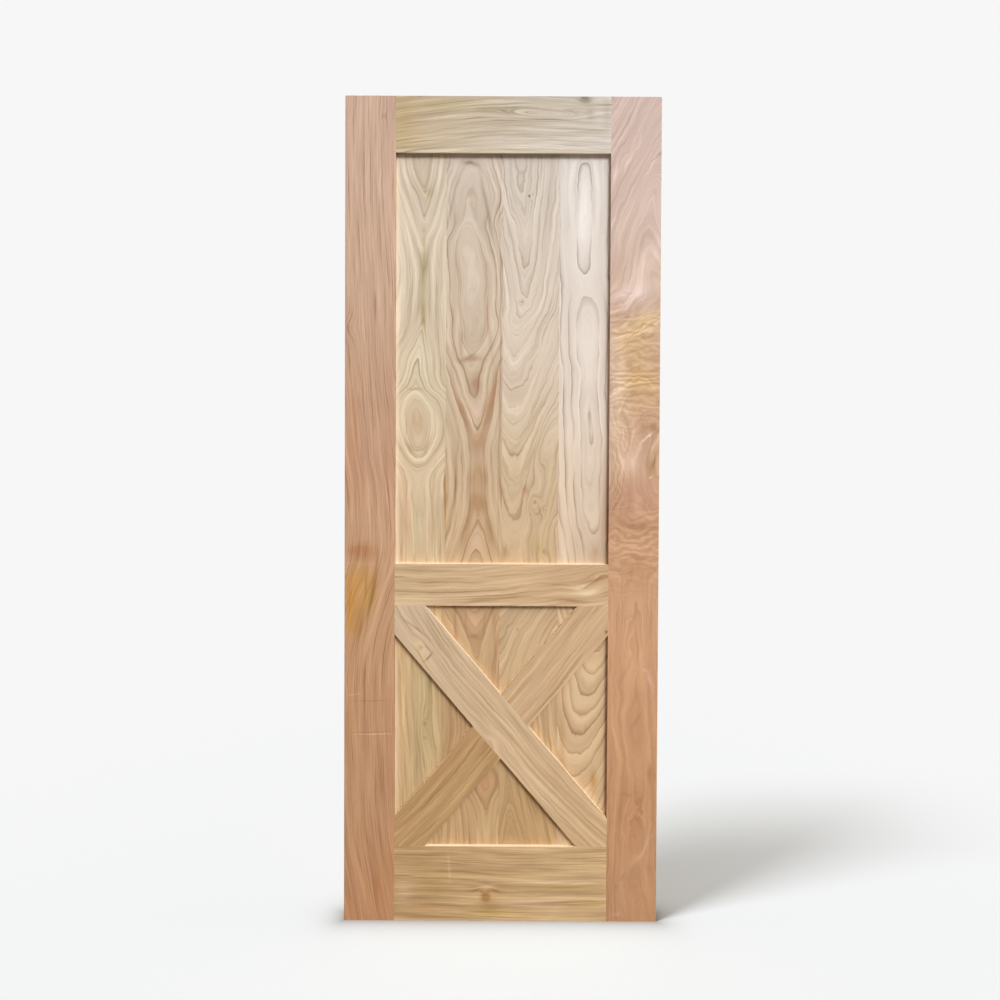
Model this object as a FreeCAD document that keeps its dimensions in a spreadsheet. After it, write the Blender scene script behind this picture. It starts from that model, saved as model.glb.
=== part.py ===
"""Framed barn door leaf with a crossed brace, in millimetres.

Two full-height stiles and three rails are tenoned together round two flat panels of edge-glued boards.
The lower panel carries a crossed brace on each face: one whole diagonal and two halves butted against it.
+Z is up, +X runs from the hanging edge to the closing edge and the front faces -Y.
The origin is on the hanging edge, at mid thickness, level with the foot of the door.
"""

import os

import FreeCAD
import Part
import Sketcher

SIZES = {
    # The leaf
    "door_width": 813,
    "door_height": 2134,
    "door_thickness": 40,
    "arris_radius": 1.5,
    # The frame members
    "stile_width": 130,
    "top_rail_width": 145,
    "middle_rail_width": 108,
    "bottom_rail_width": 195,
    "lower_opening_height": 628,
    # The joints between rails and stiles
    "tenon_length": 78,
    "haunch_width": 34,
    "twin_tenon_gap": 36,
    "tenon_edge_gap": 0.15,
    "mortise_end_gap": 2,
    # The panels in their grooves
    "panel_thickness": 12,
    "groove_depth": 12,
    "panel_play": 0.15,
    "panel_side_gap": 3,
    "panel_top_gap": 2,
    "upper_board_width": 146.5,
    "lower_board_width": 152,
    "lower_seam_offset": 5,
    # The crossed braces
    "brace_width": 109,
    "brace_toe": 7.5,
}
BOARDS_PER_PANEL = 4

doc = FreeCAD.newDocument("BarnDoor")
sheet = doc.addObject("Spreadsheet::Sheet", "Sizes")
for row, (alias, value) in enumerate(SIZES.items(), start=1):
    cell = f"A{row}"
    sheet.set(cell, str(value))
    sheet.setAlias(cell, alias)
doc.recompute()


def size(alias):
    return f"Sizes.{alias}"


def measured(formula):
    """The value in millimetres that a formula has with the sheet's present sizes."""
    value = sheet.evalExpression(formula.replace("Sizes.", ""))
    return float(getattr(value, "Value", value))


# Lengths and heights that several pieces share, as formulas over the sheet
OPENING_WIDTH = "(Sizes.door_width - 2 * Sizes.stile_width)"
OPENING_RIGHT = "(Sizes.door_width - Sizes.stile_width)"
FRONT_FACE = "(-Sizes.door_thickness / 2)"
BACK_FACE = "(Sizes.door_thickness / 2)"
LOWER_OPENING_FOOT = "Sizes.bottom_rail_width"
MIDDLE_RAIL_FOOT = "(Sizes.bottom_rail_width + Sizes.lower_opening_height)"
UPPER_OPENING_FOOT = "(Sizes.bottom_rail_width + Sizes.lower_opening_height + Sizes.middle_rail_width)"
TOP_RAIL_FOOT = "(Sizes.door_height - Sizes.top_rail_width)"
HALF_GROOVE = "(Sizes.panel_thickness / 2 + Sizes.panel_play)"
BRACE_THICKNESS = "((Sizes.door_thickness - Sizes.panel_thickness) / 2)"
TWIN_TENON = (
    "((Sizes.bottom_rail_width - Sizes.groove_depth - Sizes.haunch_width - Sizes.twin_tenon_gap) / 2)"
)


def new_body(label):
    body = doc.addObject("PartDesign::Body", "Body_" + label)
    body.Label = label
    return body


def new_sketch(body, name, role, outlines, offset="0"):
    """A sketch on one of the body's origin planes. An outline is a list of corners, each a pair of formulas."""
    sketch = body.newObject("Sketcher::SketchObject", f"{body.Label}_{name}")
    plane = next(f for f in body.Origin.OriginFeatures if f.Role == role)
    sketch.AttachmentSupport = [(plane, "")]
    sketch.MapMode = "FlatFace"
    sketch.setExpression("AttachmentOffset.Base.z", offset)
    for corners in outlines:
        add_outline(sketch, corners)
    return sketch


def add_outline(sketch, corners):
    """A closed outline whose every corner is dimensioned from the sketch's origin."""
    places = [FreeCAD.Vector(measured(x), measured(y), 0) for x, y in corners]
    first = sketch.GeometryCount
    for start, end in zip(places, places[1:] + places[:1]):
        sketch.addGeometry(Part.LineSegment(start, end))
    for number, ((x, y), place) in enumerate(zip(corners, places)):
        line = first + number
        before = first + (number - 1) % len(corners)
        sketch.addConstraint(Sketcher.Constraint("Coincident", before, 2, line, 1))
        across = sketch.addConstraint(Sketcher.Constraint("DistanceX", -1, 1, line, 1, place.x))
        sketch.setExpression(f"Constraints[{across}]", x)
        along = sketch.addConstraint(Sketcher.Constraint("DistanceY", -1, 1, line, 1, place.y))
        sketch.setExpression(f"Constraints[{along}]", y)


def rectangle(left, low, right, high):
    return [(left, low), (right, low), (right, high), (left, high)]


def pad(body, name, sketch, length, midplane=False):
    feature = body.newObject("PartDesign::Pad", f"{body.Label}_{name}")
    feature.Profile = sketch
    feature.setExpression("Length", length)
    feature.Midplane = midplane
    body.Tip = feature
    doc.recompute()


def pocket(body, name, sketch, depth):
    before = body.Shape.Volume
    feature = body.newObject("PartDesign::Pocket", f"{body.Label}_{name}")
    feature.Profile = sketch
    feature.setExpression("Length", depth)
    body.Tip = feature
    doc.recompute()
    if not feature.Shape.Volume < before:
        raise RuntimeError(f"{feature.Name} cut nothing")


def ease_arrises(body, name, lies_on_arris):
    """Rounds the long edges that the test picks, as a plane and sandpaper leave them."""
    base = body.Tip
    edges = [
        f"Edge{number}"
        for number, edge in enumerate(base.Shape.Edges, start=1)
        if lies_on_arris(edge)
    ]
    feature = body.newObject("PartDesign::Fillet", f"{body.Label}_{name}")
    feature.Base = (base, edges)
    feature.setExpression("Radius", size("arris_radius"))
    body.Tip = feature
    doc.recompute()


def tenon_bands():
    """The lowest and highest height of each tenon of each rail, from the rail's own lower edge.

    A tenon stops at the floor of a panel groove, and a haunch keeps it clear of the stile's open end.
    """
    groove, haunch = size("groove_depth"), size("haunch_width")
    twin, gap = TWIN_TENON, size("twin_tenon_gap")
    return {
        "top_rail": [(groove, f"{size('top_rail_width')} - {haunch}")],
        "middle_rail": [(groove, f"{size('middle_rail_width')} - {groove}")],
        "bottom_rail": [
            (haunch, f"{haunch} + {twin}"),
            (f"{haunch} + {twin} + {gap}", f"{size('bottom_rail_width')} - {groove}"),
        ],
    }


RAIL_FEET = {"top_rail": TOP_RAIL_FOOT, "middle_rail": MIDDLE_RAIL_FOOT, "bottom_rail": "0"}
# Edges nearer than this to the stile's outer face lie on it.
TOUCHING = 0.001


def make_stile(label):
    """A stile in its own frame: outer edge at x = 0, inner edge grooved from end to end and mortised."""
    body = new_body(label)
    inner = size("stile_width")
    groove_floor = f"({inner} - {size('groove_depth')})"
    section = [
        ("0", FRONT_FACE),
        (inner, FRONT_FACE),
        (inner, f"-{HALF_GROOVE}"),
        (groove_floor, f"-{HALF_GROOVE}"),
        (groove_floor, HALF_GROOVE),
        (inner, HALF_GROOVE),
        (inner, BACK_FACE),
        ("0", BACK_FACE),
    ]
    pad(body, "Stick", new_sketch(body, "Section", "XY_Plane", [section]), size("door_height"))
    mortises = []
    for rail, bands in tenon_bands().items():
        for low, high in bands:
            foot = f"{RAIL_FEET[rail]} + {low} - {size('tenon_edge_gap')}"
            head = f"{RAIL_FEET[rail]} + {high} + {size('tenon_edge_gap')}"
            mortises.append(rectangle(f"-{HALF_GROOVE}", foot, HALF_GROOVE, head))
    holes = new_sketch(body, "MortiseMarks", "YZ_Plane", mortises, offset=inner)
    pocket(body, "Mortises", holes, f"{size('tenon_length')} + {size('mortise_end_gap')}")
    ease_arrises(
        body,
        "Arris",
        lambda edge: edge.BoundBox.XMax < TOUCHING and edge.BoundBox.ZLength > edge.BoundBox.YLength,
    )
    return body


def rail_section(width, grooved_foot, grooved_head):
    """A rail's section across its length, with a panel groove in its lower edge, its upper edge or both."""
    depth = size("groove_depth")
    front_wall, back_wall = f"-{HALF_GROOVE}", HALF_GROOVE
    foot_groove = [(front_wall, "0"), (front_wall, depth), (back_wall, depth), (back_wall, "0")]
    floor = f"{width} - {depth}"
    head_groove = [(back_wall, width), (back_wall, floor), (front_wall, floor), (front_wall, width)]
    foot = [(FRONT_FACE, "0"), *(foot_groove if grooved_foot else []), (BACK_FACE, "0")]
    head = [(BACK_FACE, width), *(head_groove if grooved_head else []), (FRONT_FACE, width)]
    return foot + head


def tenon_outline(bands, haunches):
    """The outline, in elevation, of the tongue that runs through a rail and ends in its tenons and haunches.

    It is stepped: each tenon reaches into its mortise, and each haunch only fills the stile's groove.
    """
    steps = sorted(
        [(low, high, size("tenon_length")) for low, high in bands]
        + [(low, high, size("groove_depth")) for low, high in haunches],
        key=lambda step: measured(step[0]),
    )
    right, left = [], []
    for low, high, reach in steps:
        right += [(f"{OPENING_RIGHT} + {reach}", low), (f"{OPENING_RIGHT} + {reach}", high)]
        left += [(f"{size('stile_width')} - {reach}", low), (f"{size('stile_width')} - {reach}", high)]
    return right + left[::-1]


def make_rail(label, width, grooved_foot, grooved_head, haunches):
    body = new_body(label)
    section = new_sketch(
        body,
        "Section",
        "YZ_Plane",
        [rail_section(width, grooved_foot, grooved_head)],
        offset=size("stile_width"),
    )
    pad(body, "Stick", section, OPENING_WIDTH)
    outline = tenon_outline(tenon_bands()[label], haunches)
    tongue = new_sketch(body, "TenonOutline", "XZ_Plane", [outline])
    pad(body, "Tenons", tongue, size("panel_thickness"), midplane=True)
    body.setExpression("Placement.Base.z", RAIL_FEET[label])
    return body


def make_rails():
    haunch, twin, gap = size("haunch_width"), TWIN_TENON, size("twin_tenon_gap")
    top_width, bottom_width = size("top_rail_width"), size("bottom_rail_width")
    top = make_rail(
        "top_rail", top_width, True, False, [(f"{top_width} - {haunch}", top_width)]
    )
    middle = make_rail("middle_rail", size("middle_rail_width"), True, True, [])
    bottom = make_rail(
        "bottom_rail",
        bottom_width,
        False,
        True,
        [("0", haunch), (f"{haunch} + {twin}", f"{haunch} + {twin} + {gap}")],
    )
    return [top, middle, bottom]


def make_panel(name, foot, head, board_width, seam_offset):
    """Flat boards glued edge to edge, the outer two trimmed so that the panel has play in the stiles' grooves."""
    depth = size("groove_depth")
    left = f"({size('stile_width')} - {depth} + {size('panel_side_gap')})"
    right = f"({OPENING_RIGHT} + {depth} - {size('panel_side_gap')})"
    middle = f"({size('door_width')} / 2 - {seam_offset})"
    seams = [left]
    for number in range(1, BOARDS_PER_PANEL):
        seams.append(f"({middle} + {number - BOARDS_PER_PANEL // 2} * {board_width})")
    seams.append(right)
    boards = []
    for number in range(BOARDS_PER_PANEL):
        label = f"{name}_board_{number + 1}"
        board = doc.addObject("Part::Box", "Box_" + label)
        board.Label = label
        board.setExpression("Length", f"{seams[number + 1]} - {seams[number]}")
        board.setExpression("Width", size("panel_thickness"))
        board.setExpression("Height", f"{head} + {depth} - {size('panel_top_gap')} - ({foot} - {depth})")
        board.setExpression("Placement.Base.x", seams[number])
        board.setExpression("Placement.Base.y", f"-{size('panel_thickness')} / 2")
        board.setExpression("Placement.Base.z", f"{foot} - {depth}")
        boards.append(board)
    return boards


# The brace's slope runs from one corner of the lower opening to the other, less the toe at each end.
HALF_RUN = f"({OPENING_WIDTH} / 2 - Sizes.brace_toe)"
HALF_RISE = "(Sizes.lower_opening_height / 2)"
HALF_SLOPE = f"sqrt({HALF_RUN} ^ 2 + {HALF_RISE} ^ 2)"
# Half the brace's width, measured level and measured upright
LEVEL_HALF_WIDTH = f"(Sizes.brace_width / 2 * {HALF_SLOPE} / {HALF_RISE})"
UPRIGHT_HALF_WIDTH = f"(Sizes.brace_width / 2 * {HALF_SLOPE} / {HALF_RUN})"
# What each end bears on: this much of the rail and this much of the stile, from the corner
RAIL_BEARING = f"(Sizes.brace_toe + {LEVEL_HALF_WIDTH})"
STILE_BEARING = f"({UPRIGHT_HALF_WIDTH} - Sizes.brace_toe * {HALF_RISE} / {HALF_RUN})"


def make_brace(label, corners, rear_face):
    """A flat brace, its ends cut to the corners of the opening, which its own corners are measured from."""
    body = new_body(label)
    outline = [(f"{size('stile_width')} + {x}", f"{LOWER_OPENING_FOOT} + {z}") for x, z in corners]
    pad(body, "Board", new_sketch(body, "Outline", "XZ_Plane", [outline]), BRACE_THICKNESS)
    body.setExpression("Placement.Base.y", rear_face)
    return body


def make_braces():
    """On each face a whole brace, from the upper left to the lower right as seen from the front, and two halves."""
    width, height = OPENING_WIDTH, size("lower_opening_height")
    half_width, half_height = f"{width} / 2", f"{height} / 2"
    whole = [
        ("0", height),
        ("0", f"{height} - {STILE_BEARING}"),
        (f"{width} - {RAIL_BEARING}", "0"),
        (width, "0"),
        (width, STILE_BEARING),
        (RAIL_BEARING, height),
    ]
    upper_half = [
        (width, height),
        (f"{width} - {RAIL_BEARING}", height),
        (half_width, f"{half_height} + {UPRIGHT_HALF_WIDTH}"),
        (f"{half_width} + {LEVEL_HALF_WIDTH}", half_height),
        (width, f"{height} - {STILE_BEARING}"),
    ]
    lower_half = [
        ("0", "0"),
        (RAIL_BEARING, "0"),
        (half_width, f"{half_height} - {UPRIGHT_HALF_WIDTH}"),
        (f"{half_width} - {LEVEL_HALF_WIDTH}", half_height),
        ("0", STILE_BEARING),
    ]
    braces = []
    for side, rear_face in (("front", f"-{size('panel_thickness')} / 2"), ("back", BACK_FACE)):
        braces.append(make_brace(f"{side}_whole_brace", whole, rear_face))
        braces.append(make_brace(f"{side}_upper_half_brace", upper_half, rear_face))
        braces.append(make_brace(f"{side}_lower_half_brace", lower_half, rear_face))
    return braces


left_stile = make_stile("left_stile")
# The right stile is the same piece turned end for side about the door's upright.
right_stile = make_stile("right_stile")
right_stile.Placement = FreeCAD.Placement(
    FreeCAD.Vector(0, 0, 0), FreeCAD.Rotation(FreeCAD.Vector(0, 0, 1), 180)
)
right_stile.setExpression("Placement.Base.x", size("door_width"))

pieces = [left_stile, right_stile]
pieces += make_rails()
pieces += make_panel("upper_panel", UPPER_OPENING_FOOT, TOP_RAIL_FOOT, size("upper_board_width"), "0")
pieces += make_panel(
    "lower_panel",
    LOWER_OPENING_FOOT,
    MIDDLE_RAIL_FOOT,
    size("lower_board_width"),
    size("lower_seam_offset"),
)
pieces += make_braces()
doc.recompute()

for thing in doc.Objects:
    if "Invalid" in thing.State or "Error" in thing.State:
        raise RuntimeError(f"{thing.Label} failed: {thing.State}")

os.makedirs("parts", exist_ok=True)
for piece in pieces:
    shape = piece.Shape
    if shape.isNull() or not shape.isValid():
        raise RuntimeError(f"{piece.Label} has no valid shape")
    shape.exportStep(os.path.join("parts", piece.Label + ".step"))
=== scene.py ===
"""The framed barn door leaf as photographed. Lengths are in metres, in the door's own frame."""
import math

import bpy
from mathutils import Matrix, Vector


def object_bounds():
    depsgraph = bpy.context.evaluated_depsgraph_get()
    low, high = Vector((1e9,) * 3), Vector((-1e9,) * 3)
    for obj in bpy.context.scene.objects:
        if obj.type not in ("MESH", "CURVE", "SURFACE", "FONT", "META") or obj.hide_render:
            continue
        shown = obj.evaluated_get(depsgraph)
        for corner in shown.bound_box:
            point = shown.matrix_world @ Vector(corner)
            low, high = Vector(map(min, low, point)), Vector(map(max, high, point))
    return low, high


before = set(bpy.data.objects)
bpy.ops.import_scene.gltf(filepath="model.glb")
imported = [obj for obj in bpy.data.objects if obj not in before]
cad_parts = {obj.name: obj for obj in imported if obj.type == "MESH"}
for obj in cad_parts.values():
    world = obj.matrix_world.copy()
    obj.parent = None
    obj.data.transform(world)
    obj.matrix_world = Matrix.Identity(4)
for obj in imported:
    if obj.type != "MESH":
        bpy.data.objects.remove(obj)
cad_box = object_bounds()


# Left stile
# The full-height upright at the left: a plank of reddish heartwood, nearly straight in the grain. It is
# planed, sanded, and mortised for the rails' tenons. What gives every piece its wood is first made here.
def add_node(tree, kind, inputs=None, **settings):
    """One shader node. An input takes a value, or the output that it is linked from."""
    made = tree.nodes.new("ShaderNode" + kind)
    for name, value in settings.items():
        setattr(made, name, value)
    for socket, value in (inputs or {}).items():
        if isinstance(value, bpy.types.NodeSocket):
            tree.links.new(value, made.inputs[socket])
        else:
            made.inputs[socket].default_value = value
    return made


def work_out(tree, operation, *terms, clamp=False):
    return add_node(tree, "Math", dict(enumerate(terms)), operation=operation, use_clamp=clamp).outputs[0]


def work_out_vector(tree, operation, *terms):
    """A vector, or a plain number where the operation gives one."""
    made = add_node(tree, "VectorMath", dict(enumerate(terms)), operation=operation)
    return made.outputs["Value" if operation in ("LENGTH", "DOT_PRODUCT") else "Vector"]


def join_axes(tree, x=0.0, y=0.0, z=0.0):
    return add_node(tree, "CombineXYZ", {"X": x, "Y": y, "Z": z}).outputs[0]


def split_axes(tree, vector):
    return add_node(tree, "SeparateXYZ", {0: vector}).outputs


def rescale(tree, value, low, high, new_low=0.0, new_high=1.0, smooth=False):
    """The value carried from one range to another, and held at the new range's ends."""
    ends = {"Value": value, "From Min": low, "From Max": high, "To Min": new_low, "To Max": new_high}
    kind = "SMOOTHSTEP" if smooth else "LINEAR"
    return add_node(tree, "MapRange", ends, interpolation_type=kind).outputs[0]


def noise(tree, at, detail, roughness=0.5, scale=1.0):
    """Noise as a value in its first output, and as three unlike ones in its second, Color."""
    inputs = {"Vector": at, "Scale": scale, "Detail": detail, "Roughness": roughness}
    return add_node(tree, "TexNoise", inputs).outputs


def blend_colour(tree, mask, under, over):
    return add_node(tree, "Mix", {"Factor": mask, 6: under, 7: over}, data_type="RGBA").outputs[2]


def use_group(tree, group, inputs):
    return add_node(tree, "Group", inputs, node_tree=group).outputs


def new_group(name, inputs, outputs):
    """An empty node group with named sockets, with its input node's outputs and its output node's inputs."""
    group = bpy.data.node_groups.new(name, "ShaderNodeTree")
    for label, kind in inputs.items():
        group.interface.new_socket(label, in_out="INPUT", socket_type="NodeSocket" + kind)
    for label, kind in outputs.items():
        group.interface.new_socket(label, in_out="OUTPUT", socket_type="NodeSocket" + kind)
    given = group.nodes.new("NodeGroupInput").outputs
    wanted = group.nodes.new("NodeGroupOutput").inputs
    return group, given, wanted


def colour(red, green, blue):
    """A shade as seen on a screen, 0 to 255, as the linear colour that a shader takes."""
    shades = [value / 255 for value in (red, green, blue)]
    return (*[((s + 0.055) / 1.055) ** 2.4 if s > 0.04045 else s / 12.92 for s in shades], 1.0)


def make_swell_group():
    """A smooth hill round one spot of the board: 1 at its centre, fading out past its reach."""
    group, given, wanted = new_group(
        "Swell",
        {"Place": "Vector", "Centre": "Vector", "Turn": "Vector", "Reach": "Vector"},
        {"Rise": "Float"},
    )
    spot = {
        "Vector": given["Place"],
        "Location": given["Centre"],
        "Rotation": given["Turn"],
        "Scale": given["Reach"],
    }
    near = add_node(group, "Mapping", spot, vector_type="TEXTURE").outputs[0]
    on_face = work_out_vector(group, "MULTIPLY", near, (1, 0, 1))
    squared = work_out_vector(group, "DOT_PRODUCT", on_face, on_face)
    rise = work_out(group, "EXPONENT", work_out(group, "MULTIPLY", squared, -1.0))
    group.links.new(rise, wanted["Rise"])
    return group


def make_grain_place_group():
    """The point on the board, measured from its middle and its face, turned so that the grain runs along Z.

    Place has the slow wander and the small crinkles that real grain has, and Straight has neither.
    """
    group, given, wanted = new_group(
        "Grain place",
        {"Turn": "Vector", "Middle": "Vector", "Seed": "Vector", "Wander": "Float", "Crinkle": "Float"},
        {"Place": "Vector", "Straight": "Vector"},
    )
    here = add_node(group, "TexCoord").outputs["Object"]
    turned = add_node(group, "Mapping", {"Vector": here, "Rotation": given["Turn"]}).outputs[0]
    straight = work_out_vector(group, "SUBTRACT", turned, given["Middle"])
    place = straight
    for bends_per_metre, size, stretch in (((14, 14, 6), "Wander", 2), ((40, 40, 24), "Crinkle", 1)):
        at = work_out_vector(group, "MULTIPLY", straight, bends_per_metre)
        at = work_out_vector(group, "ADD", at, given["Seed"])
        drift = noise(group, at, detail=2.5, roughness=0.55)["Color"]
        drift = work_out_vector(group, "SUBTRACT", drift, (0.5, 0.5, 0.5))
        drift = work_out_vector(group, "MULTIPLY", drift, given[size])
        drift = work_out_vector(group, "MULTIPLY", drift, (1, 1, stretch))
        place = work_out_vector(group, "ADD", place, drift)
    group.links.new(place, wanted["Place"])
    group.links.new(straight, wanted["Straight"])
    return group


def make_ring_group():
    """How many metres of growth lie between a point and the log's heart.

    Heart line has where the heart runs across the board, how deep it lies, and how far the rings taper there.
    """
    group, given, wanted = new_group(
        "Distance from the heart",
        {"Place": "Vector", "Heart line": "Vector"},
        {"Distance": "Float"},
    )
    place = split_axes(group, given["Place"])
    heart = split_axes(group, given["Heart line"])
    across = work_out(group, "SUBTRACT", place["X"], heart["X"])
    behind = work_out(group, "SUBTRACT", heart["Y"], place["Y"])
    length = work_out_vector(group, "LENGTH", join_axes(group, across, behind))
    beyond = work_out(group, "SUBTRACT", length, heart["Y"])
    group.links.new(work_out(group, "ADD", beyond, heart["Z"]), wanted["Distance"])
    return group


def make_figure_group():
    """What growth rings and fibres draw on a planed face: streaks, uneven rings, lines, fibres and pores."""
    group, given, wanted = new_group(
        "Figure",
        {
            "Distance": "Float",
            "Place": "Vector",
            "Ring width": "Float",
            "Uneven": "Float",
            "Softness": "Float",
            "Seed": "Float",
        },
        {"Streaks": "Float", "Late wood": "Float", "Lines": "Float", "Fibres": "Float", "Pores": "Float"},
    )
    place = split_axes(group, given["Place"])
    rings = work_out(group, "DIVIDE", given["Distance"], given["Ring width"])

    def ring_noise(per_ring, per_metre, detail, shift):
        """Noise that follows the rings, and changes along the grain too."""
        start = work_out(group, "ADD", given["Seed"], shift)
        across = work_out(group, "MULTIPLY_ADD", rings, per_ring, start)
        along = work_out(group, "MULTIPLY", place["Z"], per_metre)
        return noise(group, join_axes(group, across, z=along), detail, roughness=0.6)[0]

    def fibre_noise(per_metre_across, per_metre_along, detail):
        """Noise that follows the grain at its own fineness, whatever the rings do."""
        across = work_out(group, "MULTIPLY_ADD", given["Distance"], per_metre_across, given["Seed"])
        inward = work_out(group, "MULTIPLY", place["Y"], per_metre_across / 3)
        along = work_out(group, "MULTIPLY", place["Z"], per_metre_along)
        return noise(group, join_axes(group, across, inward, along), detail, roughness=0.6)[0]

    # A ring darkens slowly, then fast to a line at its outer edge, where the next ring starts pale.
    slow_rise, fast_rise, line_depth, line_edge = 2.0, 9.0, 0.84, 0.93
    uneven = ring_noise(per_ring=0.45, per_metre=0.0, detail=1.0, shift=17.7)
    uneven = work_out(group, "SUBTRACT", uneven, 0.5)
    shifted = work_out(group, "MULTIPLY_ADD", uneven, given["Uneven"], rings)
    phase = work_out(group, "FRACT", shifted)
    shading = work_out(group, "MULTIPLY", work_out(group, "POWER", phase, slow_rise), given["Softness"])
    line = work_out(group, "MULTIPLY", work_out(group, "POWER", phase, fast_rise), line_depth)
    late = work_out(group, "ADD", line, shading)
    late = work_out(group, "MULTIPLY", late, rescale(group, phase, line_edge, 1.0, 1.0, 0.0, smooth=True))

    # Some rings are strong and some faint, and each changes along the board.
    ring_number = work_out(group, "ADD", work_out(group, "FLOOR", shifted), given["Seed"])
    height = work_out(group, "MULTIPLY", place["Z"], 5.0)
    strong = noise(group, join_axes(group, ring_number, z=height), detail=1.0, scale=1.37)[0]
    late = work_out(group, "MULTIPLY", late, rescale(group, strong, 0.36, 0.64, 0.12, 1.0))

    lines = ring_noise(per_ring=2.3, per_metre=4.0, detail=2.0, shift=31.3)
    pores = fibre_noise(per_metre_across=1500.0, per_metre_along=60.0, detail=1.0)
    made = {
        "Streaks": fibre_noise(per_metre_across=75.0, per_metre_along=3.5, detail=3.0),
        "Late wood": late,
        "Lines": rescale(group, lines, 0.55, 0.7, smooth=True),
        "Fibres": fibre_noise(per_metre_across=330.0, per_metre_along=6.0, detail=3.0),
        "Pores": rescale(group, pores, 0.62, 0.75),
    }
    for label, value in made.items():
        group.links.new(value, wanted[label])
    return group


def make_darken_group():
    """Wood darkens by its own law: each of its three colours falls by its own share of the amount."""
    group, given, wanted = new_group(
        "Darken", {"Colour": "Color", "Amount": "Float", "Shares": "Vector"}, {"Colour": "Color"}
    )
    parts = add_node(group, "SeparateColor", {0: given["Colour"]}).outputs
    shares = split_axes(group, given["Shares"])
    made = add_node(group, "CombineColor")
    for index in range(3):
        fall = work_out(group, "MULTIPLY", given["Amount"], shares[index])
        fall = work_out(group, "EXPONENT", work_out(group, "MULTIPLY", fall, -1.0))
        group.links.new(work_out(group, "MULTIPLY", parts[index], fall), made.inputs[index])
    group.links.new(made.outputs[0], wanted["Colour"])
    return group


def squareness(tree):
    """How squarely a surface faces the door's front or back: 1 on the flat faces, 0 on the edges."""
    normal = add_node(tree, "TexCoord").outputs["Normal"]
    return work_out(tree, "ABSOLUTE", split_axes(tree, normal)["Y"])


def make_edge_wear_group():
    """Where handling has rubbed the rounded arrises between a face and its edges: 1 there, 0 elsewhere."""
    group, given, wanted = new_group("Edge wear", {"Place": "Vector"}, {"Wear": "Float"})
    facing = squareness(group)
    rounded = work_out(group, "MULTIPLY", facing, work_out(group, "SUBTRACT", 1.0, facing))
    rubbed = rescale(group, noise(group, given["Place"], detail=2.0, scale=9.0)[0], 0.3, 0.6, 0.4, 1.0)
    highest = work_out(group, "MULTIPLY", rounded, 4.0)
    group.links.new(work_out(group, "MULTIPLY", highest, rubbed, clamp=True), wanted["Wear"])
    return group


SWELL = make_swell_group()
GRAIN_PLACE = make_grain_place_group()
RING_DISTANCE = make_ring_group()
FIGURE = make_figure_group()
DARKEN = make_darken_group()
EDGE_WEAR = make_edge_wear_group()


def heart_line(tree, stations, along):
    """Curves through the stations: where the log's heart runs across the board, its depth, and the taper."""
    low, high = stations[0][0], stations[-1][0]
    share = rescale(tree, along, low, high)
    line = add_node(tree, "VectorCurve", {"Vector": join_axes(tree, share, share, share)})
    line.mapping.clip_min_x = 0
    line.mapping.clip_max_x = 1
    for curve, values in zip(line.mapping.curves, list(zip(*stations))[1:]):
        curve.points[0].location = (0, values[0])
        curve.points[1].location = (1, values[-1])
        for station, value in zip(stations[1:-1], values[1:-1]):
            curve.points.new((station[0] - low) / (high - low), value)
    line.mapping.update()
    return line.outputs[0]


def tone_and_painted_falloff_along(tree, tones, along):
    """The board's plain colour, which passes from one tone to the next along the grain: partly the wood's own
    tone, and partly painted light falloff, paler towards the door's head and right side.
    """
    low, high = tones[0][0], tones[-1][0]
    ramp = add_node(tree, "ValToRGB", {0: rescale(tree, along, low, high)})
    stops = ramp.color_ramp.elements
    for number, (position, tone) in enumerate(tones):
        share = (position - low) / (high - low)
        stop = stops[number] if number < 2 else stops.new(share)
        stop.position = share
        stop.color = colour(*tone)
    return ramp.outputs[0]


# The shares by which red, green and blue fall where the wood is darker.
BROWN_LINES = (0.75, 1.0, 1.3)
STREAK_SHARES = (0.85, 1.0, 1.1)
KNOT_BROWN = (150, 108, 76)
BARE_ARRIS = (236, 212, 180)
# The pale colour painted as a highlight along the panel margins and on the boards' edge faces.
PAINTED_HIGHLIGHT_TONE = (248, 228, 196)
# How far a knot bends the rings, and how far its brown heart reaches, across and along, in its radii.
KNOT_BEND = (1.6, 2.2)
KNOT_HEART = (0.6, 0.8)
PORE_DEPTH = 0.12


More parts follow.
